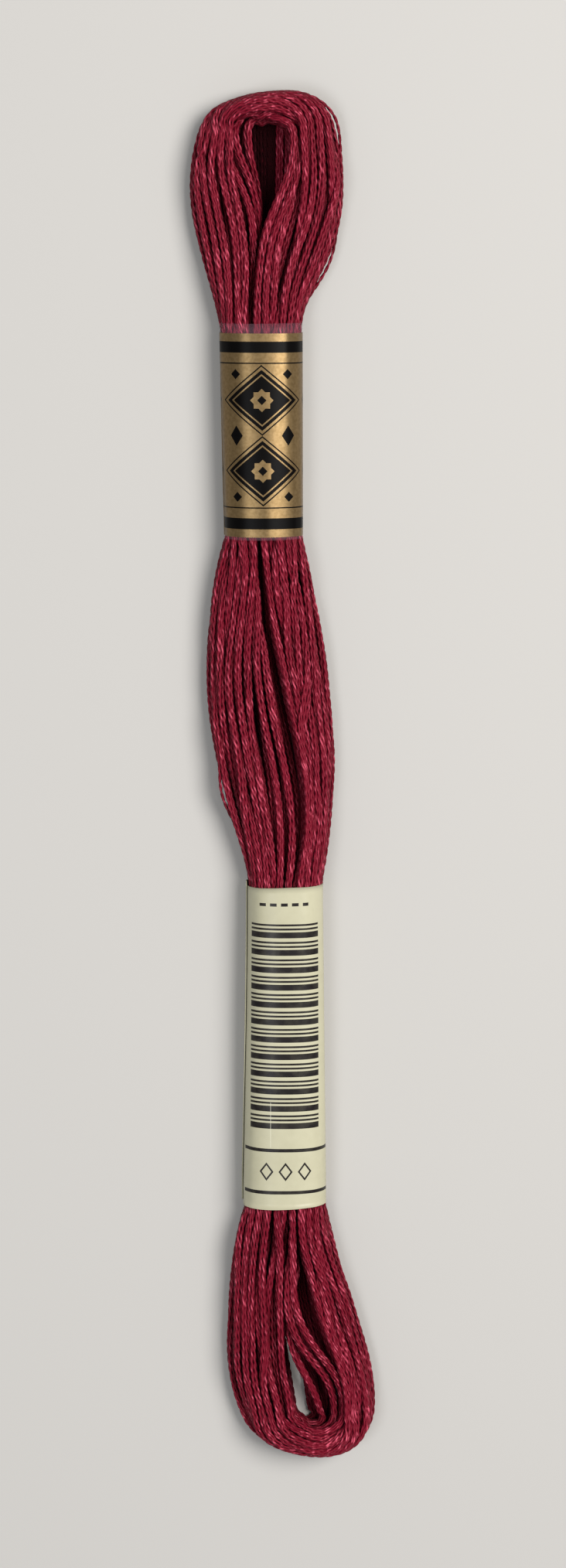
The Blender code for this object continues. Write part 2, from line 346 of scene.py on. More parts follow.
GUIDES = (
    Guide(0, left=((-3.5, 60.0, 0.5), (-3.5, 66.0, 0.5), (-3.7, 71.0, 0.5), (-3.75, 78.2, 0.5),
                   (-2.9, 79.4, 0.5)),
          right=((-2.05, 78.2, 0.5), (-2.1, 71.0, 0.5), (-2.4, 66.0, 0.5), (-2.6, 60.0, 0.5))),
    Guide(7, left=((-4.6, 62.0, 0.6), (-4.6, 66.0, 0.5), (-4.7, 71.0, 0.5), (-4.75, 78.2, 0.5),
                   (-2.9, 80.4, 0.5)),
          right=((-1.05, 78.2, 0.75), (-1.1, 71.0, 0.75), (-1.4, 66.0, 0.6), (-1.7, 62.0, 0.6))),
    Guide(8, left=((-5.7, 66.0, 0.6), (-5.8, 71.0, 0.5), (-5.75, 78.2, 0.5), (-2.9, 81.4, 0.5)),
          right=((-0.05, 78.2, 1.5), (-0.1, 71.0, 1.5), (-0.5, 67.0, 1.1))),
    Guide(2, left=((-3.8, 62.0, 1.2), (-3.2, 66.0, 1.4), (-2.9, 70.0, 1.6), (-3.1, 72.3, 2.4),
                   (-3.7, 73.2, 3.0), (-4.3, 74.2, 3.4), (-4.8, 75.2, 3.7), (-5.05, 76.1, 3.8),
                   (-4.8, 77.2, 3.6), (-4.3, 78.2, 3.0), (-2.9, 79.9, 2.4))),
    Guide(3, left=((-4.0, 62.0, 1.4), (-3.2, 66.0, 2.0), (-2.7, 69.0, 2.9), (-2.7, 70.3, 3.9),
                   (-3.4, 71.2, 4.7), (-4.3, 72.0, 5.1), (-5.2, 72.8, 5.3), (-6.2, 73.7, 5.3),
                   (-6.9, 74.5, 5.2), (-7.2, 75.4, 4.8), (-6.9, 76.9, 3.8), (-6.1, 78.2, 2.9),
                   (-2.9, 80.3, 2.4))),
    Guide(4, left=((-4.4, 58.0, 2.4), (-4.1, 62.0, 2.4), (-3.6, 65.5, 3.2), (-3.5, 67.6, 4.2),
                   (-4.0, 69.0, 4.5), (-4.6, 70.2, 4.7), (-5.3, 71.3, 4.7), (-6.1, 72.3, 4.6),
                   (-6.9, 73.2, 4.5), (-7.8, 74.4, 4.3), (-8.2, 76.0, 3.6), (-7.6, 78.2, 2.6),
                   (-5.5, 80.6, 2.4))),
    Guide(11, left=((-5.1, 57.0, 5.2), (-5.2, 60.0, 5.0), (-5.4, 62.4, 5.0), (-5.8, 64.6, 4.9),
                    (-6.2, 67.0, 4.9), (-6.8, 69.4, 4.9), (-7.4, 71.2, 4.9), (-8.1, 72.9, 4.8),
                    (-8.7, 74.6, 4.7), (-9.0, 76.0, 4.6))),
    Guide(12, left=((-6.4, 57.0, 5.0), (-6.6, 60.0, 4.9), (-7.1, 63.0, 4.9), (-7.7, 65.6, 4.9),
                    (-8.5, 67.6, 4.9), (-9.3, 69.4, 4.8), (-9.8, 71.2, 4.7))),
    Guide(3, right=((2.3, 76.0, 4.7), (2.0, 74.0, 4.8), (1.5, 72.3, 5.0), (0.7, 71.0, 5.1),
                    (-0.4, 70.0, 5.2), (-1.6, 69.2, 5.1), (-2.3, 68.3, 5.0), (-2.6, 67.2, 4.9),
                    (-2.8, 65.5, 4.8), (-3.1, 62.5, 4.8), (-3.4, 60.0, 4.9), (-3.5, 57.0, 5.1))),
    Guide(4, right=((1.6, 76.0, 3.6), (1.6, 73.0, 3.9), (1.2, 71.0, 4.3), (0.3, 69.7, 4.6),
                    (-0.8, 68.6, 4.8), (-1.5, 67.4, 4.9), (-1.9, 66.0, 4.9), (-2.1, 64.0, 4.9),
                    (-2.3, 61.0, 5.0), (-2.4, 57.0, 5.1))),
    Guide(5, right=((1.4, 76.0, 2.6), (1.4, 72.0, 2.8), (1.0, 69.8, 3.6), (0.2, 68.4, 4.2),
                    (-0.5, 67.0, 4.6), (-0.9, 65.6, 4.8), (-1.2, 63.4, 4.9), (-1.3, 61.0, 5.0),
                    (-1.3, 57.0, 5.1))),
    Guide(3, right=((1.1, -58.0, 4.8), (0.9, -60.0, 4.9), (0.8, -62.6, 5.0), (1.1, -64.4, 5.1),
                    (1.7, -65.8, 5.1), (2.5, -67.2, 5.1), (3.3, -68.4, 5.0), (4.6, -69.6, 4.8),
                    (5.8, -70.7, 4.4), (6.9, -72.0, 3.7), (7.3, -74.0, 2.8))),
    Guide(2, right=((0.0, -60.0, 4.6), (-0.1, -63.0, 4.7), (0.05, -65.2, 4.8), (0.25, -66.8, 4.9),
                    (0.9, -68.3, 5.0), (2.0, -69.6, 5.0), (3.5, -70.5, 4.8), (4.8, -71.4, 4.5),
                    (5.9, -72.4, 3.8), (6.3, -74.0, 2.5), (6.1, -76.0, 2.0))),
    Guide(1, right=((0.0, -64.0, 3.2), (0.0, -67.0, 3.2), (0.2, -69.2, 3.5), (0.75, -70.6, 3.7),
                    (1.6, -71.6, 3.9), (2.5, -72.5, 3.9), (3.3, -73.3, 3.7), (3.9, -74.3, 3.1),
                    (4.2, -75.4, 2.2), (4.2, -77.4, 1.4))),
    Guide(0, left=((0.1, -73.0, 0.5), (0.4, -75.8, 0.5), (1.2, -77.6, 0.5), (2.6, -79.2, 0.5)),
          right=((0.3, -56.5, 0.5), (0.3, -62.0, 0.5), (1.0, -66.0, 0.5), (2.1, -69.0, 0.5),
                 (3.0, -71.5, 0.5), (3.3, -74.0, 0.5), (3.4, -77.6, 0.5))),
    Guide(7, left=((-0.9, -73.0, 0.5), (-0.6, -75.8, 0.5), (0.2, -77.6, 0.5), (2.6, -80.2, 0.5)),
          right=((1.4, -57.5, 0.5), (1.4, -62.0, 0.7), (2.2, -66.0, 0.8), (3.2, -69.0, 0.8),
                 (4.1, -71.5, 0.7), (4.3, -74.0, 0.5), (4.4, -77.6, 0.5))),
    Guide(8, left=((2.6, -81.0, 0.5),),
          right=((2.4, -60.0, 1.2), (3.3, -66.0, 1.7), (4.2, -69.0, 1.7), (5.1, -71.5, 1.5),
                 (5.4, -74.0, 1.0), (5.4, -77.6, 0.6))),
)


def ring_spot(x, y, side):
    """The station at which a turn passes a point of the plan, and how far across it lies there."""
    if LEG_FOOT <= y <= LEG_TOP:
        sign = 1.0 if side == "right" else -1.0
        across = sign * (x - np.interp(y, leg_y[::-1], pivot_x[::-1]))
        if side == "right":
            return (LEG_TOP - y) / leg_step, across
        return leg_count + bend_count + (y - LEG_FOOT) / leg_step, across
    pivot = UPPER_PIVOT if y > 0 else LOWER_PIVOT
    angle = math.degrees(math.atan2(abs(y - pivot[1]), x - pivot[0])) / BEND_STEP
    across = math.hypot(x - pivot[0], y - pivot[1])
    if y < 0:
        return leg_count - 1 + angle, across
    return stations - angle, across


def start_cells():
    """Each turn's share across its leg and up it, going back and forth through the layers."""
    cells = []
    for turn in range(TURNS):
        col, layer = divmod(turn, LAYERS)
        if col % 2:
            layer = LAYERS - 1 - layer
        cells.append(((col + 0.5) / COLUMNS, (layer + 0.5) / LAYERS))
    return np.array(cells)


def waves(draw, length, lengths, amount):
    """Smooth noise along a winding: a few sines of seeded phase, pitch and height."""
    along = np.arange(length) * leg_step
    total = np.zeros(length)
    for wave in lengths:
        phase = draw.uniform(0.0, 2.0 * math.pi)
        pitch = wave * draw.uniform(*WAVE_PITCHES)
        total += np.sin(2.0 * math.pi * along / pitch + phase) * draw.uniform(*WAVE_HEIGHTS)
    return amount * total / math.sqrt(len(lengths))


def under(share):
    """How much of the toe applies at a share of the height: all at the bottom, none near the top."""
    return np.clip(1.0 - TOE_FADE * share, 0.0, 1.0) ** TOE_CURVE


def kept_in(across, up, low, high, height, bed, margin):
    """Points moved inside the flat-bottomed oval between low and high."""
    centre, half = (low + high) / 2, np.maximum((high - low) / 2 - margin, LEAST_HALF)
    belly = OVAL_BELLY * height
    rise = np.where(up > belly, height - margin - belly, OVAL_FOOT * belly)
    over = np.abs((across - centre) / half) ** OVAL_POWER + np.abs((up - belly) / rise) ** OVAL_POWER
    over = np.maximum(over ** (1.0 / OVAL_POWER), 1.0)
    return centre + (across - centre) / over, np.maximum(belly + (up - belly) / over, bed + margin)


def nearest(across, up, count):
    """For each point of each plane, the indices of its nearest neighbours."""
    gap = (across[:, :, None] - across[:, None, :]) ** 2 + (up[:, :, None] - up[:, None, :]) ** 2
    np.einsum("pii->pi", gap)[:] = np.inf
    return np.argpartition(gap, count, axis=2)[:, :, :count]


def pushed(across, up, lean, near, room, spread):
    """One step that moves points of a plane apart where they are closer than room, or spread times it
    between two turns. Lean is how much narrower than in the plane a slanting thread really lies."""
    plane = np.arange(len(across))[:, None, None]
    dx = across[:, :, None] - across[plane, near]
    dz = up[:, :, None] - up[plane, near]
    away = np.sqrt((dx * lean[:, :, None]) ** 2 + dz ** 2) + TOUCHING
    others = near % TURNS != (np.arange(across.shape[1]) % TURNS)[None, :, None]
    push = PUSH * np.clip(room[:, None, None] * (1.0 + (spread - 1.0) * others) - away, 0.0, None) / away
    return across + (dx * push).sum(2), up + (dz * push).sum(2)


def leg_planes(values):
    """Values of the right leg, then of the left one, in a row for each plane across the legs."""
    return np.concatenate((values[:, right_leg].T, values[:, left_leg].T), axis=1)


def settled(across, up, goals, pull, free, sunk, room, way):
    """The turns or strands after being pulled to their goals, smoothed, pushed apart and kept in."""
    count = len(across)
    legs = np.concatenate((right_leg, left_leg))
    bends = np.concatenate((lower_bend, upper_bend))
    legs_low = (ring["x"] - ring["outer"])[left_leg][:, None]
    legs_high = (ring["x"] + ring["outer"])[right_leg][:, None]
    legs_height = ring["height"][right_leg][:, None] - leg_planes(sunk)
    legs_bed = ring["bed"][right_leg][:, None]
    bends_high = ring["outer"][bends][:, None]
    bends_height = ring["height"][bends][:, None] - sunk[:, bends].T
    bends_free = free[:, bends].T
    for step in range(way.rounds):
        across += pull * (goals[0] - across)
        up += pull * (goals[1] - up)
        for values in (across, up):
            flat = values.reshape(-1)
            flat[1:-1] += way.smooth * ((flat[:-2] + flat[2:]) / 2 - flat[1:-1])
        slope = np.gradient(across, axis=1)
        slope[:, bends] *= leg_step / np.maximum(across[:, bends] * math.radians(BEND_STEP), TIGHTEST)
        lean = 1.0 / np.sqrt(1.0 + (slope / leg_step) ** 2)
        legs_x, legs_z = leg_planes(ring["x"] + ring["across_x"] * across), leg_planes(up)
        bends_r, bends_z = across[:, bends].T.copy(), up[:, bends].T.copy()
        if step % LOOK_AGAIN == 0:
            near_legs = nearest(legs_x, legs_z, way.neighbours)
            near_bends = nearest(bends_r, bends_z, way.neighbours)
        legs_x, legs_z = pushed(legs_x, legs_z, leg_planes(lean), near_legs, room[right_leg], way.spread)
        bends_r, bends_z = pushed(bends_r, bends_z, lean[:, bends].T, near_bends, room[bends], way.spread)
        legs_x, legs_z = kept_in(legs_x, legs_z, legs_low, legs_high, legs_height, legs_bed, way.margin)
        bends_low = ((ring["inner"] - ring["slope"])[bends][:, None]
                     - ring["toe"][bends][:, None] * under(bends_z / bends_height))
        kept_r, kept_z = kept_in(bends_r, bends_z, bends_low, bends_high, bends_height, 0.0, way.margin)
        bends_r = np.where(bends_free, bends_r, kept_r)
        bends_z = np.where(bends_free, bends_z, kept_z)
        across[:, right_leg] = legs_x[:, :count].T - ring["x"][right_leg]
        across[:, left_leg] = ring["x"][left_leg] - legs_x[:, count:].T
        up[:, right_leg], up[:, left_leg] = legs_z[:, :count].T, legs_z[:, count:].T
        across[:, bends], up[:, bends] = bends_r.T, np.maximum(bends_z.T, way.margin)
        share = up[:, legs] / ring["height"][legs]
        edge = ring["inner"][legs] - ring["slope"][legs] * (1.0 - share)
        edge -= ring["toe"][legs] * under(share)
        short = np.clip(edge + 0.5 * way.margin - across[:, legs], 0.0, None) * ~free[:, legs]
        furrow = np.clip((share - FURROW_FROM) / FURROW_FADE, 0.0, 1.0)
        short *= np.where(np.abs(ring["y"][legs]) > EYES_BEYOND_Y, 1.0, furrow)
        across[:, legs] += EDGE_PULL * short
    return across, up


# The numbering of the stations starts inside the upper band, where each turn steps over to the
# place of the next one.
draw = np.random.default_rng(SEED)
shift = -int(round((LEG_TOP - CHANGE_AT_Y) / leg_step))
ring = {name: np.roll(values, shift) for name, values in ring.items()}
right_leg, lower_bend, left_leg, upper_bend = ((part + shift) % stations for part in
                                               (right_leg, lower_bend, left_leg, upper_bend))
cells = start_cells()
next_cells = np.concatenate((cells[1:], cells[-1:]))
change = np.clip((np.arange(stations) - (stations - CHANGE_LENGTH)) / CHANGE_LENGTH, 0.0, 1.0)
share = cells[:, None, :] + (next_cells - cells)[:, None, :] * eased(change)[None, :, None]
share_across, share_up = share[:, :, 0], share[:, :, 1]
goal_up = GOAL_INSET + share_up * (ring["height"] - 2 * GOAL_INSET)
inner_edge = ring["inner"] - ring["slope"] * (1.0 - share_up) - ring["toe"] * under(share_up - GOAL_TOE)
goal_across = inner_edge + share_across * (ring["outer"] - inner_edge)
for goal in (goal_across, goal_up):
    goal += waves(draw, TURNS * stations, WANDER_WAVES, WANDER).reshape(TURNS, stations)

hold = np.zeros((TURNS, stations))
ring_order = np.arange(stations)
for guide in GUIDES:
    placed = [ring_spot(x, y, "left") + (z,) for x, y, z in guide.left]
    placed += [ring_spot(x, y, "right") + (z,) for x, y, z in guide.right]
    spots = sorted(((station + shift) % stations, across, z) for station, across, z in placed)
    at, across_at, up_at = np.array(spots).T
    within = np.clip(1.0 - np.maximum(at[0] - ring_order, ring_order - at[-1]) / GUIDE_FADE, 0.0, 1.0)
    guided = within > 0.0
    for goal, values in ((goal_across, across_at), (goal_up, up_at)):
        line = np.interp(ring_order, at, values)
        for _ in range(GUIDE_EVENED):
            line[1:-1] = (line[:-2] + 2 * line[1:-1] + line[2:]) / 4
        goal[guide.turn, guided] += (within * (line - goal[guide.turn]))[guided]
    hold[guide.turn] = np.maximum(hold[guide.turn], within)

ring_width = ring["outer"] - ring["inner"]
turn_room = np.sqrt(PACKED * OVAL_SHARE * ring_width * ring["height"] / TURNS * 4.0 / math.pi)
turn_room = evened(np.clip(turn_room, *TURN_ROOM), TURN_ROOM_EVENED)
sunk = np.clip(waves(draw, TURNS * stations, WANDER_WAVES, HIGH_LOW), 0.0, None).reshape(TURNS, stations)
turn_across, turn_up = settled(goal_across.copy(), goal_up.copy(), (goal_across, goal_up),
                               TURN_PULL + GUIDE_PULL * hold, hold > GUIDE_FREE, sunk, turn_room,
                               TURN_SETTLING)

# --- Floss: six strands in every turn ----------------------------------------------------
# Floss is six loose strands, each of two plies, that lie side by side in the thread with only
# a slow turn. They spread where the winding is loose and press together under the bands.
STRAND_TURN = 52.0
SWAY = 1.1
SWAY_WAVES = (35.0, 80.0)
LOOSE = 0.10
LOOSE_WAVES = (9.0, 17.0, 31.0)
ROPE_RADIUS = 0.36
FLAT_TURNS = (0, 7, 8)
CLIMBING_TURNS = (7, 8)
FLAT_STEP = 0.30
FLAT_RISE = 0.7
FLAT_SINK = 0.28
FLAT_STAGGER = 0.2
STRAND_PULL = 0.22
STRAND_PRESS = 0.95
STRAND_SETTLING = Settling(60, STRAND_WIDE / 2, 0.75, 20, 1.25)
Stray = namedtuple("Stray", "side x y reach length")
STRAYS = (
    Stray("right", 5.0, 62.0, 0.45, 5.0),
    Stray("right", 6.0, 79.3, 0.45, 3.6),
    Stray("left", -7.9, -0.8, 0.45, 4.2),
)

along = np.arange(TURNS * stations) * leg_step
strand_across, strand_up = [], []
for strand in range(STRANDS):
    angle = 2.0 * math.pi * (strand / STRANDS + along / STRAND_TURN)
    angle = (angle + waves(draw, len(along), SWAY_WAVES, SWAY)).reshape(TURNS, stations)
    radius = ROPE_RADIUS * (1.0 + waves(draw, len(along), LOOSE_WAVES, LOOSE).reshape(TURNS, stations))
    strand_across.append(turn_across + radius * np.cos(angle))
    strand_up.append(turn_up + radius * np.sin(angle))
strand_across, strand_up = np.concatenate(strand_across), np.concatenate(strand_up)
strand_goals = (np.tile(turn_across, (STRANDS, 1)), np.tile(turn_up, (STRANDS, 1)))
for turn in FLAT_TURNS:
    spread = hold[turn] * ((ring["y"] > 0) | (ring["across_x"] == 1.0))
    rise = spread * FLAT_RISE * (turn in CLIMBING_TURNS) * np.clip(ring["across_x"], 0.0, 1.0)
    for line in range(turn, TURNS * STRANDS, TURNS):
        strand = line // TURNS
        step = FLAT_STEP * (strand - (STRANDS - 1) / 2)
        strand_goals[0][line] += step * spread
        strand_goals[1][line] += step * rise
        flat_up = strand_goals[1][line] - FLAT_SINK + FLAT_STAGGER * (strand % 2)
        strand_across[line] += spread * (strand_goals[0][line] - strand_across[line])
        strand_up[line] += spread * (flat_up - strand_up[line])
strand_across, strand_up = settled(strand_across, strand_up, strand_goals, STRAND_PULL,
                                   np.tile(hold > GUIDE_FREE, (STRANDS, 1)),
                                   np.zeros((TURNS * STRANDS, stations)),
                                   np.full(stations, STRAND_PRESS * STRAND_WIDE), STRAND_SETTLING)

points = np.stack((ring["x"] + ring["across_x"] * strand_across,
                   ring["y"] + ring["across_y"] * strand_across, strand_up), axis=-1)
points = points.reshape(STRANDS, TURNS * stations, 3)
for stray in STRAYS:
    station = int(round(ring_spot(stray.x, stray.y, stray.side)[0] + shift)) % stations
    strand, turn = divmod(int(np.argmax(strand_across[:, station])), TURNS)
    reach = int(round(stray.length / leg_step))
    for step in range(-reach, reach + 1):
        at = (station + step) % stations
        out = stray.reach * math.cos(math.pi / 2 * step / (reach + 1)) ** 2
        points[strand, turn * stations + station + step, 0] += out * ring["across_x"][at]
        points[strand, turn * stations + station + step, 1] += out * ring["across_y"][at]

# --- Floss: the strands as swept thread --------------------------------------------------
# Each strand is two plies twisted left-handed, a full turn in 2.3 mm, whose crowns carry its slanting flecks
# of light, partly shading of the twist itself and partly painted highlights in the colour. Where other
# strands hide it, its steps are long and plain.
PLY_TURN = 2.3
SHOWN_STEP = 0.28
HIDDEN_STEP = 2.6
THREAD_SIDES = 8
PLY_WAIST = 0.45
LOOK_STEP = 12
LOOK_SIDEWAYS = 0.3
SIDE_WEIGHT = 0.25
CLEAR_BESIDE = 0.24
OWN_STRAND = 0.12
OWN_ROPE = 0.30
OPEN_REACH = 3.6
DIMMEST = 0.25
DIM_BELOW, DIM_DEPTH, DIM_CURVE = 0.5, 3.2, 1.2
FLOOR_DIM = 0.015
WALL_DIM = 0.6
WALL_LIT = 7.0
ARCH_LIT = 0.35
UPPER_WALL_Y = 56.0
UPPER_FLOOR_Y = 62.0
LOWER_CAVITY_Y = -68.0
ARCH_Y, ARCH_FADE = -74.0, 6.0
UNDER_LIT = 0.8
UNDER_TOP, UNDER_LEAST = 1.5, 0.05
MAP_ROWS = 42
MAP_ROW_ROOM = 1.0001
MAP_SPARE = 1.02
MAP_GAP = 0.06
HIDDEN_SHARE = 0.12
# Floss colours painted by the light each place gets: painted shade from near black in recesses, through half
# shade, to the full colour where a strand lies open, and a painted highlight for the crowns of the plies.
FLOSS_DARKEST_SHADE = (0.006, 0.0004, 0.0008, 1.0)
FLOSS_DEEP_SHADE = (0.036, 0.0013, 0.0040, 1.0)
FLOSS_HALF_SHADE = (0.078, 0.0022, 0.0070, 1.0)
FLOSS_FULL = (0.143, 0.0053, 0.0160, 1.0)
FLOSS_PAINTED_HIGHLIGHT = (0.620, 0.095, 0.155, 1.0)
FLOSS_PAINTED_SHADES = ((0.0, FLOSS_DARKEST_SHADE), (0.06, FLOSS_DEEP_SHADE), (0.28, FLOSS_HALF_SHADE), (0.70, FLOSS_FULL))
FLOSS_FINISH = {
    "Base Color": FLOSS_FULL, "Roughness": 0.42, "Sheen Weight": 0.03, "Sheen Roughness": 0.4,
    "Sheen Tint": (1.0, 0.45, 0.60, 1.0), "Specular IOR Level": 0.26, "Specular Tint": (1.0, 0.30, 0.36, 1.0),
}
DULLNESS = ((0.0, (1.0, 1.0, 1.0, 1.0)), (0.35, (0.42, 0.42, 0.42, 1.0)))
UNEVEN_GRAIN = (230.0, 2.0)
UNEVEN_LEAST, UNEVEN_PART = 0.75, 0.5
GROOVE_SHADE_LEAST, GROOVE_SHADE_PART = 0.78, 0.22
HIGHLIGHT_SPECK_GRAIN = (1100.0, 1.0)
HIGHLIGHT_SPECK_STRETCH = (1.5, 0.55, 1.5)
HIGHLIGHT_SPECK_CHANCE = ((0.52, (0.0, 0.0, 0.0, 1.0)), (0.66, (1.0, 1.0, 1.0, 1.0)))
HIGHLIGHT_SHARPNESS = 3.0
HIGHLIGHT_STRENGTH = 0.90


def clear_way(across, up, two_sided):
    """Which points of each plane have a clear way out, and the painted light of each on a scale of one: how
    open it lies, with painted shade that deepens the lower it lies unless it has a way out sideways.
    """
    seen, outside = np.zeros(across.shape, bool), np.zeros(across.shape, bool)
    total, weights = np.zeros(across.shape), 0.0
    dx = across[:, None, :] - across[:, :, None]
    dz = up[:, None, :] - up[:, :, None]
    for degrees in range(0, 181, LOOK_STEP):
        way = (math.cos(math.radians(degrees)), math.sin(math.radians(degrees)))
        ahead = dx * way[0] + dz * way[1]
        beside = np.abs(dz * way[0] - dx * way[1])
        clear = np.where((ahead > OWN_STRAND) & (beside < CLEAR_BESIDE), ahead, np.inf).min(axis=2)
        seen |= np.isinf(clear)
        if abs(way[1]) < LOOK_SIDEWAYS and (two_sided or way[0] > 0.0):
            outside |= np.isinf(clear)
        clear = np.where((ahead > OWN_ROPE) & (beside < CLEAR_BESIDE), ahead - OWN_ROPE, np.inf).min(axis=2)
        total += (SIDE_WEIGHT + way[1]) * np.minimum(clear / OPEN_REACH, 1.0)
        weights += SIDE_WEIGHT + way[1]
    # Painted shade: points that lie low with no way out sideways are painted darker.
    depth_shade = np.clip((np.maximum(up - DIM_BELOW, 0.0) / DIM_DEPTH) ** DIM_CURVE, DIMMEST, 1.0)
    return seen, total / weights * np.where(outside, 1.0, depth_shade)


def thread_path(knots, shown):
    """Points along a strand with their twist and knot: short steps where it shows, else long ones."""
    lengths = np.linalg.norm(np.diff(knots, axis=0), axis=1)
    shown_step = shown[:-1] | shown[1:]
    at, twist, turned, index = [0.0], [0.0], 0.0, 0
    while index < len(lengths):
        if shown_step[index]:
            pieces = max(1, int(round(lengths[index] / SHOWN_STEP)))
            for piece in range(1, pieces + 1):
                turned += lengths[index] / pieces / PLY_TURN
                at.append(index + piece / pieces)
                twist.append(turned)
            index += 1
            continue
        reach, run = index, 0.0
        while reach < len(lengths) and not shown_step[reach]:
            if run > 0.0 and run + lengths[reach] >= HIDDEN_STEP:
                break
            run += lengths[reach]
            reach += 1
        at.append(float(reach))
        twist.append(turned)
        index = reach
    at = np.array(at)
    base = np.clip(at.astype(int), 0, len(knots) - 2)
    part = (at - base)[:, None]
    padded = np.concatenate((2 * knots[:1] - knots[1:2], knots, 2 * knots[-1:] - knots[-2:-1]))
    before, start, end, after = (padded[base + offset] for offset in range(4))
    path = start + 0.5 * part * (end - before + part * (
        2 * before - 5 * start + 4 * end - after + part * (3 * (start - end) + after - before)))
    return path, np.array(twist), at


class Nodes:
    """Short ways to add nodes to a tree."""

    def __init__(self, tree):
        self.tree = tree

    def add(self, kind, given, **settings):
        """The outputs of a new node with its settings, and its inputs linked or set."""
        node = self.tree.nodes.new(kind)
        for name, value in settings.items():
            setattr(node, name, value)
        for name, value in given.items():
            if isinstance(value, bpy.types.NodeSocket):
                self.tree.links.new(value, node.inputs[name])
            else:
                node.inputs[name].default_value = value
        return node.outputs

    def math(self, first, operation, second):
        """The result of a math node."""
        return self.add("ShaderNodeMath", {0: first, 1: second}, operation=operation)[0]

    def plus(self, first, second):
        """The sum of two values."""
        return self.math(first, "ADD", second)

    def times(self, first, second):
        """The product of two values."""
        return self.math(first, "MULTIPLY", second)

    def attribute(self, name):
        """A piece's own attribute of that name, as one number."""
        return self.add("ShaderNodeAttribute", {}, attribute_name=name)["Fac"]

    def place(self):
        """Object coordinates."""
        return self.add("ShaderNodeTexCoord", {})["Object"]

    def noise(self, place, grain):
        """Noise at a place, with its grain as (scale, detail)."""
        return self.add("ShaderNodeTexNoise", {"Vector": place, "Scale": grain[0], "Detail": grain[1]})["Fac"]

    def mixed(self, fac, first, second, blend="MIX"):
        """Two colours mixed by fac."""
        return self.add("ShaderNodeMix", {0: fac, 6: first, 7: second}, data_type="RGBA", blend_type=blend)[2]

    def ramp(self, fac, stops):
        """A colour ramp driven by fac, with its stops as (position, colour)."""
        result = self.add("ShaderNodeValToRGB", {"Fac": fac})["Color"]
        elements = result.node.color_ramp.elements
        while len(elements) < len(stops):
            elements.new(0.5)
        for element, (position, colour) in zip(elements, stops):
            element.position = position
            element.color = colour
        return result


def thread_tree():
    """Geometry nodes that sweep a waisted, twisting outline along a strand's points."""
    tree = bpy.data.node_groups.new("twisted_thread", "GeometryNodeTree")
    for name, kind in (("Strand", "NodeSocketGeometry"), ("Radius", "NodeSocketFloat"),
                       ("Waist", "NodeSocketFloat"), ("Material", "NodeSocketMaterial")):
        tree.interface.new_socket(name, in_out="INPUT", socket_type=kind)
    tree.interface.new_socket("Thread", in_out="OUTPUT", socket_type="NodeSocketGeometry")
    thread = Nodes(tree)
    given = thread.add("NodeGroupInput", {})
    line = thread.add("GeometryNodeMeshToCurve", {"Mesh": given["Strand"]})["Curve"]
    twist = thread.add("GeometryNodeInputNamedAttribute", {"Name": "ply_twist"}, data_type="FLOAT")
    line = thread.add("GeometryNodeSetCurveTilt", {"Curve": line, "Tilt": twist["Attribute"]})["Curve"]

    outline = thread.add("GeometryNodeCurvePrimitiveCircle",
                         {"Resolution": THREAD_SIDES, "Radius": given["Radius"]})["Curve"]
    spot = thread.add("ShaderNodeSeparateXYZ", {0: thread.add("GeometryNodeInputPosition", {})[0]})
    reach = thread.math(thread.math(spot["X"], "ABSOLUTE", 0.0), "DIVIDE", given["Radius"])
    pinch = thread.plus(given["Waist"], thread.times(reach, thread.math(1.0, "SUBTRACT", given["Waist"])))
    waisted = thread.add("ShaderNodeCombineXYZ", {"X": spot["X"], "Y": thread.times(spot["Y"], pinch)})[0]
    outline = thread.add("GeometryNodeSetPosition", {"Geometry": outline, "Position": waisted})["Geometry"]

    sweep = {"Curve": line, "Profile Curve": outline, "Fill Caps": True}
    made = thread.add("GeometryNodeCurveToMesh", sweep)["Mesh"]
    made = thread.add("GeometryNodeRealizeInstances", {"Geometry": made})["Geometry"]
    made = thread.add("GeometryNodeSetShadeSmooth", {"Geometry": made})["Geometry"]
    made = thread.add("GeometryNodeSetMaterial", {"Geometry": made, "Material": given["Material"]})
    thread.add("NodeGroupOutput", {"Thread": made["Geometry"]})
    return tree


def made_plain(source, tree, values, name):
    """The mesh that a geometry tree makes from a source object, as a plain object."""
    modifier = source.modifiers.new("nodes", "NODES")
    modifier.node_group = tree
    for item in tree.interface.items_tree:
        if item.in_out == "INPUT" and item.name in values:
            modifier[item.identifier] = values[item.name]
    bpy.context.view_layer.update()
    evaluated = source.evaluated_get(bpy.context.evaluated_depsgraph_get())
    mesh = bpy.data.meshes.new_from_object(evaluated)
    bpy.data.objects.remove(source)
    mesh.name = name
    made = bpy.data.objects.new(name, mesh)
    scene.collection.objects.link(made)
    return made


def read_all(items, name, each=1, kind=np.int32):
    """A property of every item of a mesh as an array."""
    values = np.empty(len(items) * each, kind)
    items.foreach_get(name, values)
    return values


def add_values(mesh, name, values):
    """A new attribute of the mesh with a number for each of its points."""
    mesh.attributes.new(name, "FLOAT", "POINT").data.foreach_set("value", values.astype(np.float32).ravel())


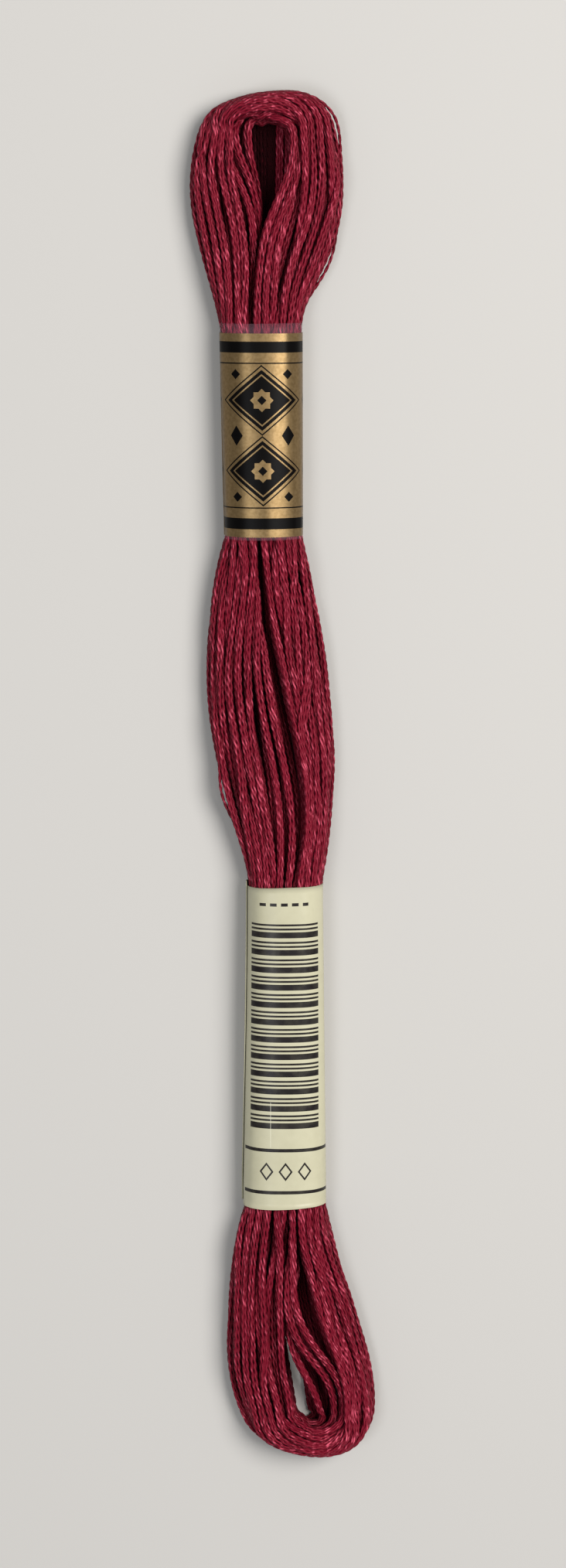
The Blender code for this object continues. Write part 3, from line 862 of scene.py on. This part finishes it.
def lay_out(mesh, path, at, shown):
    """A strand's own picture map: rows of it side by side, with the hidden lengths drawn short."""
    steps = np.linalg.norm(np.diff(path, axis=0), axis=1)
    base = np.clip(at.astype(int), 0, len(shown) - 2)
    visible = (shown[base] | shown[base + 1])[:-1]
    along = np.concatenate(([0.0], np.cumsum(np.where(visible, steps, steps * HIDDEN_SHARE))))
    row_length = along[-1] / MAP_ROWS * MAP_ROW_ROOM
    loops = read_all(mesh.loops, "vertex_index")
    starts = read_all(mesh.polygons, "loop_start")
    face_of = np.repeat(np.arange(len(starts)), read_all(mesh.polygons, "loop_total"))
    ring_at, side_at = loops // THREAD_SIDES, (loops % THREAD_SIDES).astype(float)
    low_ring = np.minimum.reduceat(ring_at, starts)
    wraps = (np.maximum.reduceat(side_at, starts) - np.minimum.reduceat(side_at, starts)) > THREAD_SIDES / 2
    side_at = np.where(wraps[face_of] & (side_at == 0), THREAD_SIDES, side_at)
    row = np.minimum(along[low_ring[face_of]] // row_length, MAP_ROWS - 1)
    across_map = (along[ring_at] - row * row_length) / (row_length * MAP_SPARE)
    up_map = (row + MAP_GAP + (1.0 - 2 * MAP_GAP) * side_at / THREAD_SIDES) / MAP_ROWS
    layer = mesh.uv_layers.new(name="OFBake")
    layer.data.foreach_set("uv", np.stack((across_map, up_map), axis=1).astype(np.float32).ravel())


# Painted light and shade of the floss: how open each strand point lies sets how bright its colour is painted.
count = TURNS * STRANDS
seen = np.zeros((count, stations), bool)
painted_light = np.zeros((count, stations))
legs_x, legs_z = leg_planes(ring["x"] + ring["across_x"] * strand_across), leg_planes(strand_up)
for values, found in zip((seen, painted_light), clear_way(legs_x, legs_z, True)):
    values[:, right_leg], values[:, left_leg] = found[:, :count].T, found[:, count:].T
for bend in (lower_bend, upper_bend):
    seen_bend, painted_light_bend = clear_way(strand_across[:, bend].T, strand_up[:, bend].T, False)
    seen[:, bend], painted_light[:, bend] = seen_bend.T, painted_light_bend.T
# Painted shade on the turns on the floor of both eyes; painted light where they climb the wall at the right
# of the upper one.
wall = np.clip(ring["across_x"], 0.0, 1.0) * (ring["y"] > UPPER_WALL_Y)
floor_shade = np.where(ring["y"] < LOWER_CAVITY_Y, WALL_DIM, 1.0)
floor_shade = np.where(ring["y"] > UPPER_FLOOR_Y, FLOOR_DIM, floor_shade)
for turn in FLAT_TURNS:
    painted_light[turn::TURNS] *= floor_shade + wall * (turn in CLIMBING_TURNS) * (WALL_LIT - floor_shade)
strand_y = ring["y"] + ring["across_y"] * strand_across
# Painted light: the lower arch is painted brighter towards its bottom.
painted_light *= 1.0 + ARCH_LIT * np.clip((ARCH_Y - strand_y) / ARCH_FADE, 0.0, 1.0)
for top, bottom in BAND_ROOMS:
    seen[:, (ring["y"] < top) & (ring["y"] > bottom)] = False
seen = seen.reshape(STRANDS, -1)
seen = seen | np.roll(seen, 1, axis=1) | np.roll(seen, -1, axis=1)
painted_light = painted_light.reshape(STRANDS, -1)

floss_material, floss_shader = plain_material("mercerised_cotton", FLOSS_FINISH)
floss = Nodes(floss_material.node_tree)
painted_light_value = floss.attribute("painted_light")
crown_value = floss.attribute("crown")
place = floss.place()
uneven = floss.noise(place, UNEVEN_GRAIN)
drawn_out = floss.add("ShaderNodeMapping", {"Vector": place, "Scale": HIGHLIGHT_SPECK_STRETCH})["Vector"]
highlight_speck = floss.noise(drawn_out, HIGHLIGHT_SPECK_GRAIN)
# Painted shade: the floss colour goes darker where its painted light is low, and darker still in the groove
# between the plies of a strand.
lit = floss.times(painted_light_value, floss.plus(floss.times(uneven, UNEVEN_PART), UNEVEN_LEAST))
groove_shade = floss.plus(floss.times(crown_value, GROOVE_SHADE_PART), GROOVE_SHADE_LEAST)
body = floss.mixed(1.0, floss.ramp(lit, FLOSS_PAINTED_SHADES), groove_shade, "MULTIPLY")
# Painted highlight: pale pink flecks on the crowns of the plies, scattered by noise and stronger where the
# strand is painted lit.
highlight_peak = floss.math(crown_value, "POWER", HIGHLIGHT_SHARPNESS)
painted_highlight = floss.times(floss.times(highlight_peak, floss.ramp(highlight_speck, HIGHLIGHT_SPECK_CHANCE)), floss.times(lit, HIGHLIGHT_STRENGTH))
floss.tree.links.new(floss.ramp(painted_light_value, DULLNESS), floss_shader.inputs["Roughness"])
floss.tree.links.new(floss.mixed(painted_highlight, body, FLOSS_PAINTED_HIGHLIGHT), floss_shader.inputs["Base Color"])

sweep_tree = thread_tree()
crown_at = np.abs(np.cos(2.0 * math.pi * np.arange(THREAD_SIDES) / THREAD_SIDES))
for strand in range(STRANDS):
    path, twist, at = thread_path(points[strand], seen[strand])
    name = "floss_strand_%d" % (strand + 1)
    mesh = bpy.data.meshes.new(name + "_path")
    mesh.from_pydata((path * MM).tolist(), [(i, i + 1) for i in range(len(path) - 1)], [])
    add_values(mesh, "ply_twist", -2.0 * math.pi * twist)
    source = bpy.data.objects.new(name + "_path", mesh)
    scene.collection.objects.link(source)
    sizes = {"Radius": STRAND_WIDE / 2 * MM, "Waist": PLY_WAIST, "Material": floss_material}
    piece = made_plain(source, sweep_tree, sizes, name)
    painted_light_at = np.interp(at, np.arange(painted_light.shape[1]), painted_light[strand])[:, None]
    corners = read_all(piece.data.vertices, "co", 3, np.float32).reshape(len(path), THREAD_SIDES, 3)
    # Painted shade: the sides of a strand that face down are painted darker, the more so the higher the
    # strand lies above the table.
    path_up = path[:, 2, None]
    facing_down = path_up - corners[:, :, 2] / MM
    under_shade = UNDER_LIT * np.clip(UNDER_TOP - path_up, UNDER_LEAST, 1.0)
    painted_light_at = painted_light_at + (under_shade - painted_light_at) * np.clip(facing_down / (STRAND_WIDE / 4), 0.0, 1.0)
    add_values(piece.data, "painted_light", painted_light_at)
    add_values(piece.data, "crown", np.tile(crown_at, len(path)))
    lay_out(piece.data, path, at, seen[strand])
    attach(piece, "root")
    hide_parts("skein")

# --- Upper band: printed film ------------------------------------------------------------
# A gold and black label printed on clear plastic film, 25.4 mm long, wrapped round the pressed
# legs and stuck to itself at the left flank. Its print here is generic: gold and black rules
# above and below, and black lozenges with a gold star between them.
SLEEVE_STEP = 0.3
SLEEVE_ROW = 0.7
HULL_INSET = 1.5
HULL_SHARE = 0.9
HULL_EVENED = 30
LAST_PLANE = 1.001
FACING_STEP = 0.5
FACING_SPARE = 30.0
TOP_FACING = (30.0, 150.0)
LAP_LENGTH, LAP_RISE, LAP_GAP = 8.0, 3.0, 0.03
LIFTED_COLUMNS = 4
EDGE_SHARPNESS = 12
EDGE_WAVE = 0.55
TILT_REACH = 4.5
TABLE_GAP = 0.09
MAP_INSET = 0.01
MAP_BANDS = ((0.01, 0.79), (0.81, 0.96), (0.97, 0.99))
Sleeve = namedtuple("Sleeve", "name top bottom splits lap_from lap_to thickness clearance lift waviness tilt")
LABEL_MIDDLE, LABEL_HALF = 42.70, 11.95
FILM = Sleeve("film_band", 55.8, 30.4, (LABEL_MIDDLE + LABEL_HALF, LABEL_MIDDLE - LABEL_HALF),
              224.0, 190.0, 0.07, 0.04, 0.04, 0.03, 0.0)
GOLD = (0.190, 0.129, 0.061, 1.0)
GOLD_DEEP = (0.150, 0.100, 0.045, 1.0)
BLACK = (0.0015, 0.0012, 0.0012, 1.0)
PRINT_FINISH = {"Base Color": GOLD, "Roughness": 0.36, "Specular IOR Level": 0.05}
CLEAR = (0.30, 0.17, 0.22, 1.0)
CLEAR_FINISH = {"Base Color": CLEAR, "Roughness": 0.30, "Alpha": 0.08, "Specular IOR Level": 0.30}
GOLD_METAL = 0.72
GOLD_TONES = ((0.35, GOLD_DEEP), (0.65, GOLD))
INK_GRAIN = (2600.0, 2.0)
THICK_RULE = (9.7, 11.0)
THIN_RULE = (8.4, 8.55)
LOZENGE_PITCH = 13.6
LOZENGE_HALF = (4.9, 4.15)
LOZENGE_FRAME, LOZENGE_FILL, LOZENGE_LINE = (0.95, 1.0), 0.86, (0.69, 0.74)
STAR_SQUARE, STAR_TURNED, STAR_HOLE = 0.95, 1.36, (0.55, 0.55)
SMALL_OFF = 3.1
WAIST_HALF, CORNER_HALF, SIDE_HALF = (0.8, 1.2), (0.6, 0.6), (1.0, 1.9)
CORNER_OFF = 7.2


def hull_of(top, bottom):
    """Support distances of the floss for each leg plane inside a sleeve, by degree."""
    turn = np.radians(np.arange(360.0))
    inside = np.nonzero((leg_y <= top - HULL_INSET) & (leg_y >= bottom + HULL_INSET))[0]
    reach = np.empty((len(inside), 360))
    for place, plane in enumerate(inside):
        spread = np.outer(legs_x[plane], np.cos(turn)) + np.outer(legs_z[plane], np.sin(turn))
        reach[place] = spread.max(axis=0) + STRAND_WIDE / 2
    line = np.polyfit(leg_y[inside], reach, 1)
    straight = leg_y[inside][:, None] * line[0] + line[1]
    reach = straight + np.quantile(reach - straight, HULL_SHARE, axis=0)
    for _ in range(HULL_EVENED):
        reach = (np.roll(reach, 1, axis=1) + 2 * reach + np.roll(reach, -1, axis=1)) / 4
    return leg_y[inside], reach


def sleeve_points(sleeve):
    """The outer and inner face of a sleeve as grids of points, and its millimetres round and along."""
    planes, reach = hull_of(sleeve.top, sleeve.bottom)
    turn = np.radians(np.arange(361.0))
    reach = np.concatenate((reach, reach[:, :1]), axis=1)
    slope = np.gradient(np.concatenate((reach[:, -2:-1], reach, reach[:, 1:2]), axis=1), axis=1)[:, 1:-1]
    slope *= 180.0 / math.pi
    hull_x = reach * np.cos(turn) - slope * np.sin(turn)
    hull_z = reach * np.sin(turn) + slope * np.cos(turn)
    row_count = int(round((sleeve.top - sleeve.bottom) / SLEEVE_ROW)) + 1
    along = np.concatenate((np.linspace(sleeve.top, sleeve.bottom, row_count), sleeve.splits))
    along = np.sort(along)[::-1]
    facing = np.arange(sleeve.lap_from + FACING_SPARE, sleeve.lap_to - 360.0 - FACING_SPARE - FACING_STEP,
                       -FACING_STEP)
    top_half = (facing < TOP_FACING[1]) & (facing > TOP_FACING[0])
    lines, runs, fronts = [], [], []
    for y in along:
        at = np.clip(np.interp(-y, -planes, np.arange(len(planes))), 0, len(planes) - LAST_PLANE)
        low, part = int(at), at - int(at)
        x = hull_x[low] * (1 - part) + hull_x[low + 1] * part
        z = hull_z[low] * (1 - part) + hull_z[low + 1] * part
        line_x, line_z = (np.interp(facing % 360, np.arange(361.0), values) for values in (x, z))
        run = np.concatenate(([0.0], np.cumsum(np.hypot(np.diff(line_x), np.diff(line_z)))))
        fronts.append(np.interp((x.min() + x.max()) / 2, line_x[top_half], run[top_half]))
        lines.append((line_x, line_z))
        runs.append(run)
    middle = len(along) // 2
    ends = np.interp((-sleeve.lap_from, 360.0 - sleeve.lap_to), -facing, runs[middle]) - fronts[middle]
    around = np.linspace(ends[0], ends[1], int(round((ends[1] - ends[0]) / SLEEVE_STEP)) + 1)
    lap = np.clip((around - ends[1] + LAP_LENGTH) / LAP_RISE, 0.0, 1.0)
    away = sleeve.clearance + sleeve.thickness / 2 + eased(lap) * (sleeve.thickness + LAP_GAP)
    away[-LIFTED_COLUMNS:] += sleeve.lift * (np.arange(LIFTED_COLUMNS) / (LIFTED_COLUMNS - 1)) ** 2
    grid = np.empty((2, len(along), len(around), 3))
    for index, y in enumerate(along):
        at = around + fronts[index]
        line_x, line_z = (np.interp(at, runs[index], values) for values in lines[index])
        way = np.radians(np.interp(at, runs[index], facing))
        edge = abs(2.0 * index / (len(along) - 1) - 1.0) ** EDGE_SHARPNESS
        wave = edge * sleeve.waviness * np.sin(around * EDGE_WAVE + y)
        wave = wave + sleeve.tilt * edge * around / TILT_REACH
        for side, half in ((0, 0.5), (1, -0.5)):
            shell = away + half * sleeve.thickness
            grid[side, index, :, 0] = line_x + np.cos(way) * shell
            grid[side, index, :, 1] = y + wave
            lowest = TABLE_GAP - half * sleeve.thickness
            grid[side, index, :, 2] = np.maximum(line_z + np.sin(way) * shell, lowest)
    return grid, around, along


def sleeve_piece(sleeve, materials, slot_of):
    """A lapped strip round the skein, with its millimetres round and along kept as attributes."""
    grid, around, along = sleeve_points(sleeve)
    rows, cols = len(along), len(around)
    number = np.arange(2 * rows * cols).reshape(2, rows, cols)
    faces, slots, kinds = [], [], []

    def add_face(corners, slot, kind, turned_round):
        """One face of the shell, with its material slot and its kind."""
        face = [int(number[corner]) for corner in corners]
        faces.append(face[::-1] if turned_round else face)
        slots.append(slot)
        kinds.append(kind)

    for row in range(rows - 1):
        slot = slot_of((along[row] + along[row + 1]) / 2)
        for col in range(cols - 1):
            for side in (0, 1):
                add_face([(side, row, col), (side, row, col + 1),
                          (side, row + 1, col + 1), (side, row + 1, col)], slot, side, side == 0)
        for col in (0, cols - 1):
            add_face([(0, row, col), (1, row, col), (1, row + 1, col), (0, row + 1, col)], slot, 2, col == 0)
    for row in (0, rows - 1):
        for col in range(cols - 1):
            add_face([(0, row, col), (0, row, col + 1), (1, row, col + 1), (1, row, col)],
                     slot_of(along[row]), 2, row == 0)
    made = mesh_object(sleeve.name, grid.reshape(-1, 3), faces, materials[0])
    for material in materials[1:]:
        made.data.materials.append(material)
    made.data.polygons.foreach_set("material_index", slots)
    shape = (2, rows, cols)
    add_values(made.data, "round_mm", np.broadcast_to(around, shape))
    add_values(made.data, "along_mm", np.broadcast_to(along[None, :, None], shape))
    add_values(made.data, "printed", np.broadcast_to(np.array((1.0, 0.0))[:, None, None], shape))
    spot_u = MAP_INSET + (1.0 - 2 * MAP_INSET) * (around - around[0]) / (around[-1] - around[0])
    spot_v = ((along - along[-1]) / (along[0] - along[-1]))[None, :, None]
    spot_u, spot_v = (np.broadcast_to(values, shape).ravel() for values in (spot_u, spot_v))
    spots = []
    for face, kind in zip(faces, kinds):
        low, high = MAP_BANDS[kind]
        spots += [(spot_u[v], low + (high - low) * spot_v[v]) for v in face]
    layer = made.data.uv_layers.new(name="OFBake")
    layer.data.foreach_set("uv", np.array(spots, np.float32).ravel())
    return made


class Print(Nodes):
    """Short ways to draw flat shapes: a mask is one inside its shape and nought elsewhere."""

    def below(self, value, limit):
        """One where value is less than limit."""
        return self.math(value, "LESS_THAN", limit)

    def either(self, *masks):
        """One where any mask is one."""
        total = masks[0]
        for mask in masks[1:]:
            total = self.math(total, "MAXIMUM", mask)
        return total

    def both(self, *masks):
        """One where every mask is one."""
        total = masks[0]
        for mask in masks[1:]:
            total = self.times(total, mask)
        return total

    def inverse(self, mask):
        """One where the mask is nought."""
        return self.math(1.0, "SUBTRACT", mask)

    def between(self, value, limits):
        """One where value lies between two limits."""
        return self.both(self.below(value, limits[1]), self.inverse(self.below(value, limits[0])))

    def distance(self, value, centre):
        """How far a value lies from centre."""
        return self.math(self.math(value, "SUBTRACT", centre), "ABSOLUTE", 0.0)

    def near(self, value, centre, half):
        """One where value is less than half away from centre."""
        return self.below(self.distance(value, centre), half)

    def repeated(self, value, start, pitch):
        """A value counted again from nought at each pitch."""
        return self.math(self.plus(value, start), "FLOORED_MODULO", pitch)

    def lozenge(self, across, along, half):
        """A number that is one on the edge of a lozenge and less inside it."""
        return self.plus(self.math(across, "DIVIDE", half[0]), self.math(along, "DIVIDE", half[1]))


film_material, film_shader = plain_material("printed_film_print", PRINT_FINISH)
clear_material = plain_material("printed_film_clear", CLEAR_FINISH)[0]
film = Print(film_material.node_tree)
off_middle = film.distance(film.attribute("along_mm"), LABEL_MIDDLE)
round_at = film.repeated(film.attribute("round_mm"), LOZENGE_PITCH / 2, LOZENGE_PITCH)
beside = film.distance(round_at, LOZENGE_PITCH / 2)
tier = film.distance(off_middle, LOZENGE_HALF[1])
big = film.lozenge(beside, tier, LOZENGE_HALF)
star = film.either(film.below(film.math(beside, "MAXIMUM", tier), STAR_SQUARE),
                   film.below(film.lozenge(beside, tier, (1.0, 1.0)), STAR_TURNED))
star_hole = film.below(film.lozenge(beside, tier, STAR_HOLE), 1.0)
gold_inside = film.either(film.between(big, LOZENGE_LINE), film.both(star, film.inverse(star_hole)))
small_off = film.distance(beside, SMALL_OFF)
corner_off = film.distance(off_middle, CORNER_OFF)
side_off = film.math(LOZENGE_PITCH / 2, "SUBTRACT", beside)
small = film.either(film.below(film.lozenge(small_off, off_middle, WAIST_HALF), 1.0),
                    film.below(film.lozenge(small_off, corner_off, CORNER_HALF), 1.0),
                    film.below(film.lozenge(side_off, tier, SIDE_HALF), 1.0))
dark = film.either(film.between(big, LOZENGE_FRAME), small,
                   film.both(film.below(big, LOZENGE_FILL), film.inverse(gold_inside)))
rules = film.either(film.between(off_middle, THICK_RULE), film.between(off_middle, THIN_RULE))
dark = film.either(rules, film.both(dark, film.below(off_middle, THIN_RULE[0])))
dark = film.both(dark, film.attribute("printed"))
gold_tone = film.ramp(film.noise(film.place(), INK_GRAIN), GOLD_TONES)
film.tree.links.new(film.mixed(dark, gold_tone, BLACK), film_shader.inputs["Base Color"])
film.tree.links.new(film.times(film.inverse(dark), GOLD_METAL), film_shader.inputs["Metallic"])
film_piece = sleeve_piece(FILM, (film_material, clear_material),
                          lambda y: int(abs(y - LABEL_MIDDLE) > LABEL_HALF))
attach(film_piece, "root")
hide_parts("upper_band")

# --- Lower band: coated paper ------------------------------------------------------------
# A cream label of coated paper, 39.6 mm long, wrapped and stuck like the upper one. Its print
# here is generic: even dark bars, a row of stitches above them, and three small lozenges
# between two rules below them.
PAPER = Sleeve("paper_band", -11.3, -50.9, (), 214.0, 168.0, 0.10, 0.05, 0.07, 0.05, 0.10)
CREAM = (0.425, 0.410, 0.290, 1.0)
CREAM_DULL = (0.390, 0.375, 0.262, 1.0)
INK = (0.006, 0.004, 0.004, 1.0)
PAPER_FINISH = {"Base Color": CREAM, "Roughness": 0.38, "Specular IOR Level": 0.24}
CREAM_TONES = ((0.38, CREAM_DULL), (0.62, CREAM))
FIBRE_GRAIN, CLOUD_GRAIN = (900.0, 4.0), (95.0, 2.0)
FIBRE_PART, CLOUD_PART = 0.4, 0.6
FIBRE_BUMP = {"Strength": 0.06, "Distance": 0.00006}
INK_FULL, INK_WORN = 1.07, 0.16
Field = namedtuple("Field", "along half_along across half_across")
BAR_FIELD = Field(-28.14, 12.81, -0.05, 4.35)
BAR_START, BAR_PITCH = 40.95, 2.135
BARS = ((0.45, 0.36), (1.17, 0.125), (1.67, 0.125))
STITCH_FIELD = Field(-13.3, 0.19, 0.0, 3.25)
STITCH_START, STITCH_PITCH, STITCH_HALF = 20.0, 1.3, 0.40
RULE_MIDDLES, RULE_HALF = (-43.55, -48.8), 0.21
RULE_ACROSS, RULE_HALF_ACROSS = 0.3, 5.9
MOTIF_ALONG, MOTIFS_HALF_ACROSS = -46.2, 3.4
MOTIF_START, MOTIF_PITCH = 26.35, 2.3
MOTIF_HALF, MOTIF_LINE = (0.85, 1.15), (0.70, 1.0)
# Painted highlight: a thin pale line painted where a crease in the paper catches the light; the mesh itself
# is not creased.
CREASE = Field(-40.4, 2.8, -1.7, 0.045)
CREASE_HIGHLIGHT = (0.66, 0.65, 0.52, 1.0)
CREASE_HIGHLIGHT_STRENGTH = 0.35

paper_material, paper_shader = plain_material("cream_paper_label", PAPER_FINISH)
paper = Print(paper_material.node_tree)
around = paper.attribute("round_mm")
along_label = paper.attribute("along_mm")


def inside(field):
    """The two masks of a field of the label: one for its length, one for its width."""
    return (paper.near(along_label, field.along, field.half_along),
            paper.near(around, field.across, field.half_across))


bar_at = paper.repeated(along_label, BAR_START, BAR_PITCH)
bars = paper.either(*(paper.near(bar_at, middle, half) for middle, half in BARS))
bars = paper.both(bars, *inside(BAR_FIELD))
stitch_at = paper.repeated(around, STITCH_START, STITCH_PITCH)
stitches = paper.both(paper.near(stitch_at, STITCH_HALF, STITCH_HALF), *inside(STITCH_FIELD))
rules = paper.either(*(paper.near(along_label, middle, RULE_HALF) for middle in RULE_MIDDLES))
rules = paper.both(rules, paper.near(around, RULE_ACROSS, RULE_HALF_ACROSS))
motif_off = paper.distance(paper.repeated(around, MOTIF_START, MOTIF_PITCH), MOTIF_PITCH / 2)
motif = paper.lozenge(motif_off, paper.distance(along_label, MOTIF_ALONG), MOTIF_HALF)
motifs = paper.both(paper.between(motif, MOTIF_LINE), paper.near(around, 0.0, MOTIFS_HALF_ACROSS))
inked = paper.both(paper.either(bars, stitches, rules, motifs), paper.attribute("printed"))
place = paper.place()
fibre = paper.noise(place, FIBRE_GRAIN)
cloud = paper.noise(place, CLOUD_GRAIN)
mottle = paper.plus(paper.times(fibre, FIBRE_PART), paper.times(cloud, CLOUD_PART))
cream_tone = paper.ramp(mottle, CREAM_TONES)
ink_strength = paper.times(inked, paper.math(INK_FULL, "SUBTRACT", paper.times(fibre, INK_WORN)))
paper_colour = paper.mixed(ink_strength, cream_tone, INK)
crease_highlight_strength = paper.times(paper.both(*inside(CREASE)), CREASE_HIGHLIGHT_STRENGTH)
paper_colour = paper.mixed(crease_highlight_strength, paper_colour, CREASE_HIGHLIGHT)
paper.tree.links.new(paper_colour, paper_shader.inputs["Base Color"])
paper_bump = paper.add("ShaderNodeBump", {"Height": fibre, **FIBRE_BUMP})["Normal"]
paper.tree.links.new(paper_bump, paper_shader.inputs["Normal"])
paper_piece = sleeve_piece(PAPER, (paper_material,), lambda y: 0)
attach(paper_piece, "root")
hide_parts("lower_band")
